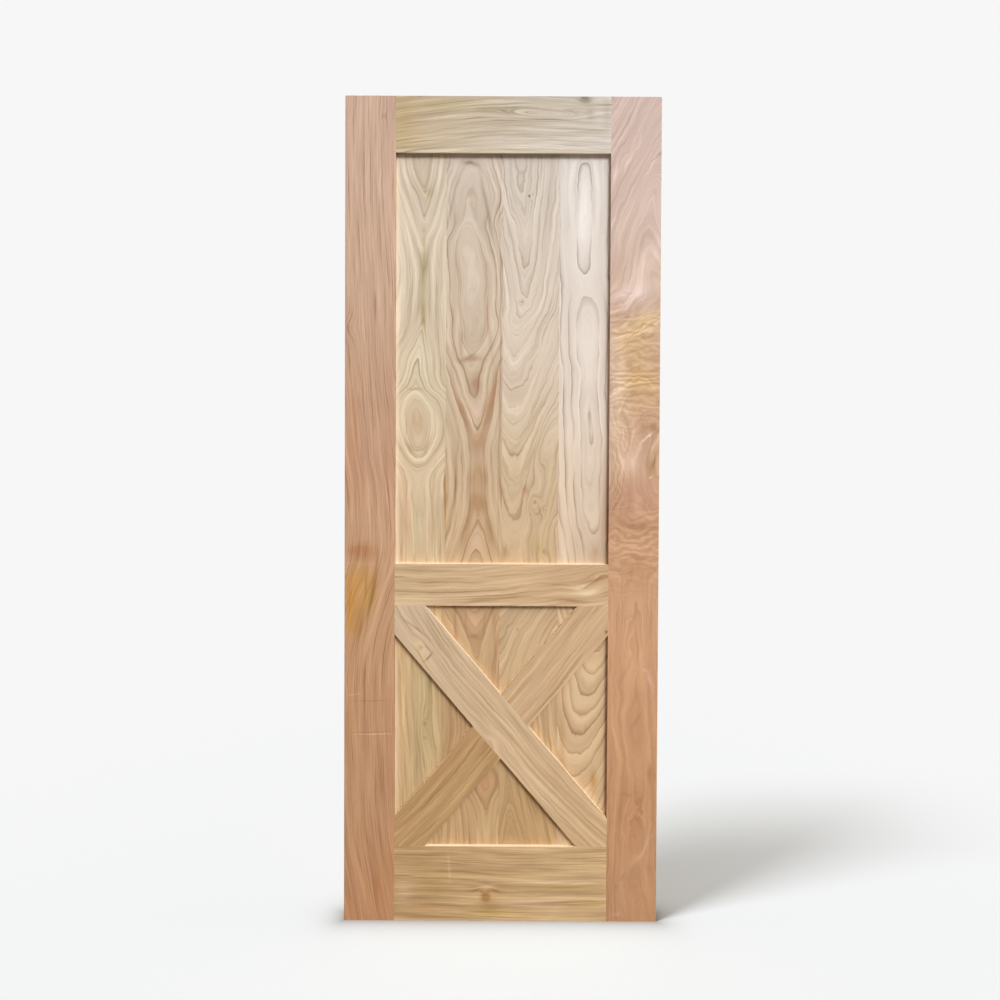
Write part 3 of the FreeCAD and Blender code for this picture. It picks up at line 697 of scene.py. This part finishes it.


# Upper panel
# Four boards glued edge to edge into one flat panel, held in the frame's grooves. Along its foot and its left
# side a strip is painted paler, a painted highlight where light catches the panel's edges.
PANEL_FACE = -0.006
UPPER_FOOT, UPPER_HEAD = 0.93, 1.99
# Painted highlights: pale strips painted along the upper panel's foot and left side.
FOOT_PAINTED_HIGHLIGHT = (0.413, 0.931, 3.0, 0.0028, 0.6)
LEFT_PAINTED_HIGHLIGHT = (0.134, 1.457, 0.0052, 3.0, 0.45)
UPPER_BOARDS = [
    dict(
        tones=[(UPPER_FOOT, (216, 187, 151)), (1.4, (218, 201, 173)), (UPPER_HEAD, (214, 198, 178))],
        lines=OLIVE_LINES,
        figure=[
            (0.196, 0.915, 0.014, 0.05), (0.193, 1.096, 0.014, 0.05), (0.19, 1.16, 0.012, 0.045),
            (0.19, 1.199, 0.012, 0.02), (0.19, 1.233, 0.012, -0.004), (0.187, 1.29, 0.012, -0.018),
            (0.184, 1.341, 0.012, -0.012), (0.182, 1.367, 0.01, 0.002), (0.182, 1.393, 0.006, 0.02),
            (0.186, 1.483, 0.006, 0.041), (0.197, 1.547, 0.006, 0.06), (0.201, 1.611, 0.006, 0.067),
            (0.204, 1.688, 0.006, 0.069), (0.198, 1.773, 0.006, 0.06), (0.201, 1.811, 0.006, 0.047),
            (0.201, 1.888, 0.006, 0.024), (0.198, 1.977, 0.006, 0.003), (0.198, 1.993, 0.006, 0.001),
        ],
        stains=[
            (0.187, 1.29, 0.031, 0.0621, 0, (206, 183, 150), 1.0),
            (0.187, 1.287, 0.0155, 0.0259, 0, (196, 168, 132), 0.8),
            (0.167, 1.227, 0.0047, 0.0259, -35, (182, 150, 112), 0.9),
            (0.21, 1.228, 0.0047, 0.0259, 26, (188, 158, 120), 0.75),
            (0.156, 1.282, 0.0031, 0.0362, 0, (196, 172, 136), 0.6),
            (0.182, 1.385, 0.0233, 0.0052, 0, (186, 166, 126), 0.6),
            (0.213, 1.898, 0.0103, 0.0129, 0, (186, 168, 120), 0.6),
            (0.201, 1.701, 0.0067, 0.0776, 0, (170, 152, 108), 0.85),
            (0.199, 1.58, 0.0078, 0.0414, 0, (166, 144, 100), 0.8),
            (0.195, 1.044, 0.0155, 0.0931, 0, (212, 196, 158), 0.6),
            (0.157, 1.044, 0.0078, 0.1035, 0, (220, 180, 142), 0.8),
            (0.261, 1.096, 0.0047, 0.119, 0, (168, 128, 68), 1.3),
            (0.229, 1.07, 0.0031, 0.1035, 2, (192, 160, 118), 0.6),
            (0.152, 1.79, 0.0181, 0.1552, 0, (222, 206, 186), 0.4),
        ],
        quiet=[(0.187, 1.29, 0.0517, 0.0724, 0, 0.65)],
    ),
    dict(
        tones=[(UPPER_FOOT, (206, 175, 137)), (1.4, (208, 188, 161)), (UPPER_HEAD, (215, 201, 186))],
        lines=BROWN_LINES, strengths=(0.26, 1.5, 0.3, 0.12),
        figure=[
            (0.341, 0.916, 0.012, 0.002), (0.343, 0.981, 0.012, 0.02), (0.345, 1.066, 0.01, 0.04),
            (0.345, 1.149, 0.008, 0.046), (0.342, 1.239, 0.008, 0.044), (0.342, 1.268, 0.01, 0.04),
            (0.336, 1.355, 0.012, 0.02), (0.328, 1.432, 0.016, 0.008), (0.326, 1.471, 0.03, 0.0),
            (0.328, 1.517, 0.03, -0.015), (0.333, 1.556, 0.03, -0.019), (0.33, 1.582, 0.03, -0.019),
            (0.328, 1.612, 0.03, -0.019), (0.327, 1.676, 0.03, -0.0185), (0.319, 1.774, 0.03, -0.011),
            (0.322, 1.812, 0.03, 0.0), (0.324, 1.843, 0.05, 0.003), (0.324, 1.894, 0.06, 0.003),
            (0.324, 1.966, 0.06, 0.016), (0.324, 1.994, 0.06, 0.022),
        ],
        stains=[
            (0.336, 1.399, 0.0129, 0.0259, 0, (170, 128, 98), 0.7),
            (0.331, 1.324, 0.0181, 0.0362, 0, (222, 192, 172), 0.55),
            (0.372, 1.34, 0.0116, 0.0828, 14, (184, 148, 114), 1.3),
            (0.306, 1.316, 0.0078, 0.0673, -18, (188, 152, 120), 1.1),
            (0.344, 1.247, 0.0181, 0.031, 0, (189, 155, 121), 1.3),
            (0.347, 1.149, 0.0207, 0.0466, 0, (187, 152, 117), 1.2),
            (0.345, 1.089, 0.0207, 0.0259, 0, (172, 134, 98), 1.3),
            (0.32, 1.463, 0.0285, 0.0078, 0, (170, 138, 110), 0.9),
            (0.295, 1.509, 0.0052, 0.0362, -8, (178, 148, 124), 0.7),
            (0.321, 1.966, 0.0207, 0.0065, 0, (160, 136, 112), 0.9),
            (0.259, 1.965, 0.0078, 0.0078, 0, (176, 158, 138), 0.8),
            (0.368, 1.838, 0.0047, 0.0983, -11, (174, 150, 128), 0.8),
            (0.273, 1.855, 0.0041, 0.0673, 14, (178, 156, 134), 0.6),
            (0.276, 1.561, 0.0052, 0.1552, 0, (186, 152, 130), 0.5),
            (0.372, 1.536, 0.0052, 0.0776, -6, (186, 150, 126), 0.5),
            (0.343, 0.981, 0.0233, 0.0362, 0, (220, 186, 156), 0.5),
            (0.312, 1.014, 0.0116, 0.0673, 15, (182, 146, 110), 1.2),
            (0.374, 1.014, 0.0116, 0.0673, -15, (180, 145, 108), 1.2),
            (0.399, 1.459, 0.0018, 0.4915, 0, (150, 104, 76), 0.5),
            (0.288, 1.148, 0.0039, 0.1293, 3, (172, 128, 94), 0.5),
            (0.325, 1.638, 0.0207, 0.1035, 0, (214, 196, 180), 0.35),
        ],
        quiet=[(0.325, 1.638, 0.0259, 0.0931, 0, 0.8), (0.342, 1.175, 0.0129, 0.1035, 0, 0.6)],
    ),
    dict(
        tones=[
            (UPPER_FOOT, (206, 176, 138)), (1.2, (209, 186, 154)), (1.45, (218, 201, 181)),
            (UPPER_HEAD, (213, 203, 191)),
        ],
        lines=BROWN_LINES, ring_width=0.015, strengths=(0.2, 0.85, 0.2, 0.12), crinkle=0.012,
        figure=[
            (0.439, 0.916, 0.034, 0.235), (0.438, 1.025, 0.034, 0.232), (0.441, 1.054, 0.034, 0.222),
            (0.443, 1.15, 0.034, 0.205), (0.443, 1.227, 0.034, 0.19), (0.442, 1.343, 0.034, 0.15),
            (0.439, 1.467, 0.034, 0.105), (0.444, 1.549, 0.025, 0.08), (0.461, 1.608, 0.01, 0.06),
            (0.466, 1.69, 0.01, 0.045), (0.46, 1.806, 0.01, 0.03), (0.455, 1.869, 0.012, 0.018),
            (0.452, 1.995, 0.014, 0.005),
        ],
        knots=[
            (0.475, 1.882, 0.004, 0.014, 0.9), (0.459, 1.611, 0.005, 0.02, 0.6),
            (0.49, 1.098, 0.005, 0.012, 0.8), (0.513, 1.072, 0.005, 0.01, 0.4),
            (0.514, 0.959, 0.005, 0.01, 0.4),
        ],
        swells=[(0.517, 1.253, 0.0233, 0.1035, 0.03, 20), (0.487, 1.088, 0.0155, 0.0362, 0.034, -8)],
        stains=[
            (0.466, 1.129, 0.0078, 0.0129, 0, (186, 120, 90), 0.55),
            (0.415, 0.96, 0.0103, 0.0155, 0, (164, 120, 82), 0.6),
            (0.501, 0.969, 0.0207, 0.0362, 0, (188, 164, 116), 0.6),
            (0.466, 1.777, 0.0181, 0.0569, 0, (226, 212, 194), 0.4),
            (0.473, 1.287, 0.0052, 0.088, 32, (186, 156, 128), 0.5),
            (0.481, 1.209, 0.0052, 0.0362, 24, (178, 146, 116), 0.5),
        ],
    ),
    dict(
        tones=[(UPPER_FOOT, (219, 194, 165)), (1.4, (228, 214, 199)), (UPPER_HEAD, (227, 219, 210))],
        lines=(0.85, 1.0, 1.05),
        figure=[
            (0.648, 0.918, 0.02, 0.006), (0.648, 1.006, 0.02, 0.0), (0.644, 1.035, 0.02, -0.004),
            (0.64, 1.099, 0.018, -0.011), (0.637, 1.164, 0.014, -0.016), (0.636, 1.203, 0.008, -0.0205),
            (0.637, 1.249, 0.0065, -0.0235), (0.634, 1.301, 0.008, -0.0205), (0.631, 1.357, 0.016, -0.013),
            (0.63, 1.422, 0.02, -0.009), (0.628, 1.486, 0.026, -0.012), (0.628, 1.568, 0.025, -0.0136),
            (0.627, 1.602, 0.026, -0.009), (0.627, 1.622, 0.035, -0.003), (0.626, 1.635, 0.041, 0.0005),
            (0.625, 1.645, 0.046, 0.004), (0.621, 1.663, 0.042, 0.005), (0.619, 1.679, 0.038, 0.004),
            (0.619, 1.689, 0.03, 0.0), (0.619, 1.699, 0.024, -0.004), (0.618, 1.72, 0.019, -0.0075),
            (0.616, 1.743, 0.018, -0.0085), (0.615, 1.871, 0.02, -0.009), (0.614, 1.937, 0.02, -0.008),
            (0.614, 1.958, 0.02, -0.005), (0.614, 1.97, 0.035, 0.001), (0.613, 1.996, 0.05, 0.005),
        ],
        stains=[
            (0.612, 1.832, 0.0155, 0.1138, 0, (240, 232, 226), 0.9),
            (0.627, 1.46, 0.0181, 0.1035, 0, (236, 226, 214), 0.5),
            (0.633, 1.316, 0.0041, 0.031, 0, (196, 176, 154), 0.7),
            (0.674, 1.022, 0.0129, 0.1552, 0, (196, 164, 132), 0.7),
            (0.648, 0.954, 0.0155, 0.031, 0, (186, 148, 118), 0.6),
            (0.572, 1.099, 0.0207, 0.1552, 0, (236, 212, 182), 0.6),
        ],
        strengths=(0.14, 1.3, 0.12, 0.1),
    ),
]
for number, board in enumerate(UPPER_BOARDS, start=1):
    painted_highlights = [FOOT_PAINTED_HIGHLIGHT, LEFT_PAINTED_HIGHLIGHT] if number == 1 else [FOOT_PAINTED_HIGHLIGHT]
    board = {"ring_width": 0.02, "crinkle": 0.006, "uneven": 0.2, "painted_highlights": painted_highlights, **board}
    finish_piece(f"upper_panel_board_{number}", face=PANEL_FACE, seed=5 + number, **board)


# Lower panel
# Four boards of darker wood behind the crossed brace, glued and held like the upper ones, with their seams
# elsewhere. Here only the strip at the left is painted paler, as a painted highlight.
LOWER_FOOT, LOWER_HEAD = 0.195, 0.823
RED_LINES = (0.68, 1.0, 1.2)
LOWER_BOARDS = [
    dict(
        tones=[(LOWER_FOOT, (193, 163, 120)), (LOWER_HEAD, (205, 175, 133))],
        lines=OLIVE_LINES,
        figure=[
            (0.057, 0.183, 0.02, 0.0), (0.047, 0.366, 0.02, 0.003), (0.033, 0.575, 0.02, 0.0),
            (0.02, 0.82, 0.02, 0.0),
        ],
        knots=[(0.205, 0.511, 0.006, 0.012, 0.35), (0.205, 0.472, 0.005, 0.01, 0.3)],
        swells=[(0.207, 0.498, 0.0155, 0.0621, 0.012, 0)],
        stains=[
            (0.21, 0.577, 0.0285, 0.1811, 0, (190, 168, 124), 0.7),
            (0.153, 0.524, 0.0129, 0.2328, 0, (214, 176, 134), 0.7),
        ],
    ),
    dict(
        tones=[(LOWER_FOOT, (192, 158, 115)), (LOWER_HEAD, (193, 160, 121))],
        lines=RED_LINES, strengths=(0.34, 0.9, 0.35, 0.16),
        figure=[
            (0.372, 0.186, 0.008, 0.045), (0.372, 0.304, 0.006, 0.03), (0.371, 0.356, 0.016, 0.014),
            (0.369, 0.421, 0.008, 0.03), (0.352, 0.578, 0.008, 0.05), (0.339, 0.734, 0.014, 0.036),
            (0.336, 0.822, 0.014, 0.0),
        ],
        stains=[
            (0.371, 0.356, 0.0181, 0.0388, 0, (176, 132, 92), 0.8),
            (0.336, 0.786, 0.0155, 0.0362, 0, (214, 172, 138), 0.7),
            (0.336, 0.736, 0.0155, 0.0052, 0, (176, 130, 96), 0.7),
            (0.315, 0.78, 0.0031, 0.0414, -3, (178, 134, 100), 0.5),
            (0.362, 0.781, 0.0031, 0.0414, 4, (178, 134, 100), 0.5),
            (0.287, 0.759, 0.0039, 0.0673, -4, (166, 124, 84), 0.7),
            (0.388, 0.708, 0.0052, 0.1293, 0, (176, 132, 94), 0.6),
            (0.339, 0.742, 0.0103, 0.0039, 0, (184, 134, 102), 0.6),
            (0.4, 0.265, 0.0078, 0.0569, 0, (206, 174, 132), 0.6),
            (0.28, 0.512, 0.0207, 0.0931, 0, (178, 142, 98), 0.6),
            (0.349, 0.212, 0.0078, 0.0466, 0, (212, 176, 134), 0.5),
        ],
    ),
    dict(
        tones=[(LOWER_FOOT, (188, 152, 106)), (LOWER_HEAD, (203, 174, 137))],
        lines=BROWN_LINES,
        figure=[
            (0.437, 0.186, 0.02, 0.07), (0.42, 0.422, 0.01, 0.1), (0.404, 0.578, 0.01, 0.1),
            (0.399, 0.682, 0.01, 0.08), (0.395, 0.823, 0.01, 0.0),
        ],
        knots=[(0.424, 0.763, 0.004, 0.008, 0.6), (0.45, 0.763, 0.004, 0.008, 0.6)],
        stains=[
            (0.507, 0.709, 0.0259, 0.0776, 30, (210, 182, 146), 0.5),
            (0.483, 0.318, 0.0362, 0.0517, 0, (184, 148, 102), 0.5),
        ],
    ),
    dict(
        tones=[(LOWER_FOOT, (210, 178, 138)), (LOWER_HEAD, (214, 184, 146))],
        lines=BROWN_LINES, ring_width=0.014, uneven=0.3, wander=0.009, crinkle=0.006,
        strengths=(0.2, 1.2, 0.12, 0.12),
        figure=[
            (0.588, 0.187, 0.04, 0.125), (0.6, 0.319, 0.07, 0.098), (0.605, 0.392, 0.08, 0.08),
            (0.607, 0.462, 0.075, 0.06), (0.622, 0.551, 0.065, 0.037), (0.637, 0.616, 0.055, 0.02),
            (0.647, 0.687, 0.05, 0.002), (0.654, 0.825, 0.05, -0.035),
        ],
        stains=[
            (0.649, 0.363, 0.0103, 0.0259, 0, (184, 138, 74), 0.8),
            (0.566, 0.462, 0.0078, 0.1035, 0, (190, 148, 100), 0.5),
            (0.611, 0.606, 0.0259, 0.0776, 0, (216, 188, 150), 0.5),
        ],
    ),
]
for number, board in enumerate(LOWER_BOARDS, start=1):
    # Painted highlight: a pale strip painted along the lower panel's left side.
    painted_highlights = [(0.132, 0.511, 0.0062, 3.0, 0.32)] if number == 1 else []
    board = {"ring_width": 0.016, "crinkle": 0.006, "painted_highlights": painted_highlights, **board}
    finish_piece(f"lower_panel_board_{number}", face=PANEL_FACE, seed=9 + number, **board)


# Crossed braces
# Flat boards let in flush with the frame, on each face: one whole diagonal that starts at the lower
# opening's upper left corner, and two halves on the other diagonal, butted against it. Their edge faces are
# painted paler than their flat faces, as a painted highlight.
TOE = 0.0075
half_rise = (LOWER_HEAD - LOWER_FOOT) / 2
half_run = (STILE_EDGES[1] - STILE_EDGES[0]) / 2 - TOE
BRACE_SLOPE = math.degrees(math.atan2(half_rise, half_run))
BRACES = {
    "whole_brace": dict(
        turn=90 - BRACE_SLOPE,
        tones=[(-0.25, (205, 171, 130)), (0.52, (208, 182, 152))],
        figure=[
            (0.898, 0.399, 0.03, 0.0), (0.742, 0.542, 0.03, 0.004), (0.598, 0.723, 0.03, -0.003),
            (0.455, 0.878, 0.03, 0.004), (0.35, 1.045, 0.03, 0.0),
        ],
        seed=14, lines=OLIVE_LINES,
        swells=[(0.207, 0.717, 0.0155, 0.0233, 0.022, 0), (0.394, 0.474, 0.0155, 0.0207, 0.012, 0)],
        stains=[
            (0.204, 0.712, 0.0155, 0.0233, 0, (222, 192, 158), 0.8),
            (0.22, 0.689, 0.0142, 0.0023, 0, (134, 100, 66), 0.85),
            (0.22, 0.712, 0.0021, 0.0207, 0, (150, 114, 78), 0.7),
            (0.186, 0.764, 0.0026, 0.0414, -14, (156, 120, 82), 0.6),
            (0.397, 0.479, 0.0129, 0.0233, 0, (222, 188, 156), 0.6),
            (0.287, 0.749, 0.0031, 0.1035, 0, (170, 138, 100), 0.6),
            (0.326, 0.661, 0.0031, 0.1293, 0, (176, 144, 104), 0.5),
            (0.509, 0.344, 0.0181, 0.1293, 0, (212, 184, 148), 0.5),
        ],
    ),
    "upper_half_brace": dict(
        turn=BRACE_SLOPE - 90,
        tones=[(-1, (204, 171, 133)), (1, (204, 171, 133))],
        figure=[(0.406, 0.238, 0.03, 0.0), (0.612, 0.475, 0.03, 0.003), (0.818, 0.738, 0.03, 0.0)],
        seed=15, strengths=(0.26, 0.36, 0.3, 0.2),
        knots=[(0.68, 0.757, 0.006, 0.014, 0.7)],
        stains=[
            (0.598, 0.65, 0.0078, 0.1035, 0, (222, 190, 150), 0.5),
            (0.68, 0.76, 0.0039, 0.0039, 0, (110, 70, 46), 0.8),
        ],
    ),
    "lower_half_brace": dict(
        turn=BRACE_SLOPE - 90,
        tones=[(-1, (183, 146, 102)), (1, (183, 146, 102))],
        figure=[(0.276, 0.106, 0.03, 0.0), (0.38, 0.212, 0.03, 0.003), (0.509, 0.37, 0.03, 0.0)],
        seed=16, strengths=(0.3, 0.4, 0.3, 0.3),
        stains=[
            (0.301, 0.368, 0.0103, 0.1035, 0, (188, 158, 108), 0.6),
            (0.275, 0.426, 0.0207, 0.0621, 0, (186, 140, 98), 0.5),
        ],
    ),
}
for side, first_seed in (("front", 0), ("back", 10)):
    for kind, board in BRACES.items():
        board = {**board, "seed": first_seed + board["seed"]}
        # The braces' edge faces are painted paler, as a painted highlight.
        finish_piece(f"{side}_{kind}", ring_width=0.014, wander=0.012, cut_edges=0.9, **board)


# Floor and backdrop
# A matt white studio floor that runs into the white background. It shows white to the camera only, so that it
# doesn't throw light up under the rails. It is shaded near the door, and a painted contact shadow makes it
# darkest where the door stands on it.
def mix_shaders(tree, mask, under, over):
    return add_node(tree, "MixShader", {0: mask, 1: under, 2: over}).outputs[0]


def for_camera(tree, hidden, seen):
    """One shader for the camera's own rays, and another for the light that goes round the scene."""
    return mix_shaders(tree, add_node(tree, "LightPath").outputs["Is Camera Ray"], hidden, seen)


STUDIO_WHITE = colour(247, 247, 247)
FLOOR_X = 0.4
SHADED_NEAR, SHADED_FAR, LEAST_WHITE = 0.2, 2.9, 0.38
CONTACT_FALL, CONTACT_STRENGTH = -32.0, 0.8
bpy.ops.mesh.primitive_plane_add(size=40, location=(FLOOR_X, 0, 0))
floor = bpy.context.object
floor.name = "studio_floor"
floor_paint = bpy.data.materials.new("studio_floor_paint")
floor_paint.use_nodes = True
tree = floor_paint.node_tree
tree.nodes.remove(tree.nodes["Principled BSDF"])
lit, dim, painted_contact_shadow = [
    add_node(tree, "BsdfDiffuse", {"Color": (*shade, 1)}).outputs[0]
    for shade in ((0.79, 0.925, 1.0), (0.25, 0.25, 0.25), (0.3, 0.3, 0.3))
]
plain = add_node(tree, "Emission", {"Color": STUDIO_WHITE, "Strength": 1.0}).outputs[0]
here = add_node(tree, "TexCoord").outputs["Object"]
away = work_out_vector(tree, "LENGTH", here)
white = rescale(tree, away, SHADED_NEAR, SHADED_FAR, LEAST_WHITE, 1.0, smooth=True)
seen = mix_shaders(tree, white, lit, plain)

# The painted contact shadow follows the distance from the door's foot, a box whose middle and half size the
# CAD gives.
door_low, door_high = [Vector(corner) for corner in cad_box]
door_middle = (door_low + door_high) / 2 - floor.location
door_half = (door_high - door_low) / 2
beside = work_out_vector(tree, "SUBTRACT", here, (door_middle.x, door_middle.y, 0))
beside = work_out_vector(tree, "ABSOLUTE", beside)
beside = work_out_vector(tree, "SUBTRACT", beside, (door_half.x, door_half.y, 0))
gap = work_out_vector(tree, "LENGTH", work_out_vector(tree, "MAXIMUM", beside, (0, 0, 0)))
# The painted contact shadow: strongest at the door's foot, and fading as the gap grows.
contact_shadow_share = work_out(tree, "EXPONENT", work_out(tree, "MULTIPLY", gap, CONTACT_FALL))
contact_shadow_share = work_out(tree, "MULTIPLY", contact_shadow_share, CONTACT_STRENGTH)
seen = mix_shaders(tree, contact_shadow_share, seen, painted_contact_shadow)
tree.links.new(for_camera(tree, dim, seen), tree.nodes["Material Output"].inputs["Surface"])
floor.data.materials.append(floor_paint)

world = bpy.data.worlds.new("studio_surround")
bpy.context.scene.world = world
world.use_nodes = True
tree = world.node_tree
backdrop = tree.nodes["Background"]
backdrop.inputs["Color"].default_value = STUDIO_WHITE
fill = add_node(tree, "Background", {"Color": (1.0, 0.78, 0.55, 1), "Strength": 0.27})
shown = for_camera(tree, fill.outputs[0], backdrop.outputs[0])
tree.links.new(shown, tree.nodes["World Output"].inputs["Surface"])


# Lights
# Soft light from high on the right falls evenly on the door's front, and two more soft lights reach its back
# and edges from behind. One more light, from the left, only lays the door's shadow on the floor.
def add_sun(name, strength, softness, direction, receivers, tint=(1, 1, 1)):
    """Even light in one direction. Softness is the light's breadth in degrees."""
    data = bpy.data.lights.new(name, "SUN")
    data.energy = strength
    data.angle = math.radians(softness)
    data.color = tint
    made = bpy.data.objects.new(name, data)
    bpy.context.collection.objects.link(made)
    made.rotation_euler = Vector(direction).to_track_quat("-Z", "Y").to_euler()
    made.light_linking.receiver_collection = receivers


door_only = bpy.data.collections.new("Door only")
floor_only = bpy.data.collections.new("Floor only")
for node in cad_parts.values():
    door_only.objects.link(node)
floor_only.objects.link(floor)
DAYLIGHT = (1.0, 1.035, 1.085)
add_sun("key_light", 1.8, 20, (-2.4, 5.6, -3.9), door_only, DAYLIGHT)
add_sun("broad_light", 1.75, 50, (-3.2, 4.6, -5.7), door_only, DAYLIGHT)
add_sun("back_light", 1.6, 40, (2.2, -5.0, -3.2), door_only, DAYLIGHT)
add_sun("back_right_light", 1.3, 40, (-3.4, -4.0, -4.0), door_only, DAYLIGHT)
add_sun("floor_light", 2.95, 15, (1.21, 0.72, -2.134), floor_only, (1.07, 0.975, 0.95))


# Camera
# At chest height and square to the door, as the picture was taken. It looks down by one degree, and its
# frame is shifted down a little, as the picture's framing needs.
camera_data = bpy.data.cameras.new("camera")
camera_data.lens = 32.06
camera_data.sensor_width = 36
camera_data.shift_y = -0.03
camera = bpy.data.objects.new("camera", camera_data)
bpy.context.collection.objects.link(camera)
camera.location = (0.4033, -2.32, 1.2154)
PITCH, YAW, ROLL = math.radians(-1.002), math.radians(-0.05), math.radians(0.275)
looking = Matrix.Rotation(-YAW, 4, "Z") @ Matrix.Rotation(math.pi / 2 + PITCH, 4, "X")
looking = looking @ Matrix.Rotation(ROLL, 4, "Z")
camera.rotation_euler = looking.to_euler()
bpy.context.scene.camera = camera
bpy.context.scene.view_settings.view_transform = "Standard"
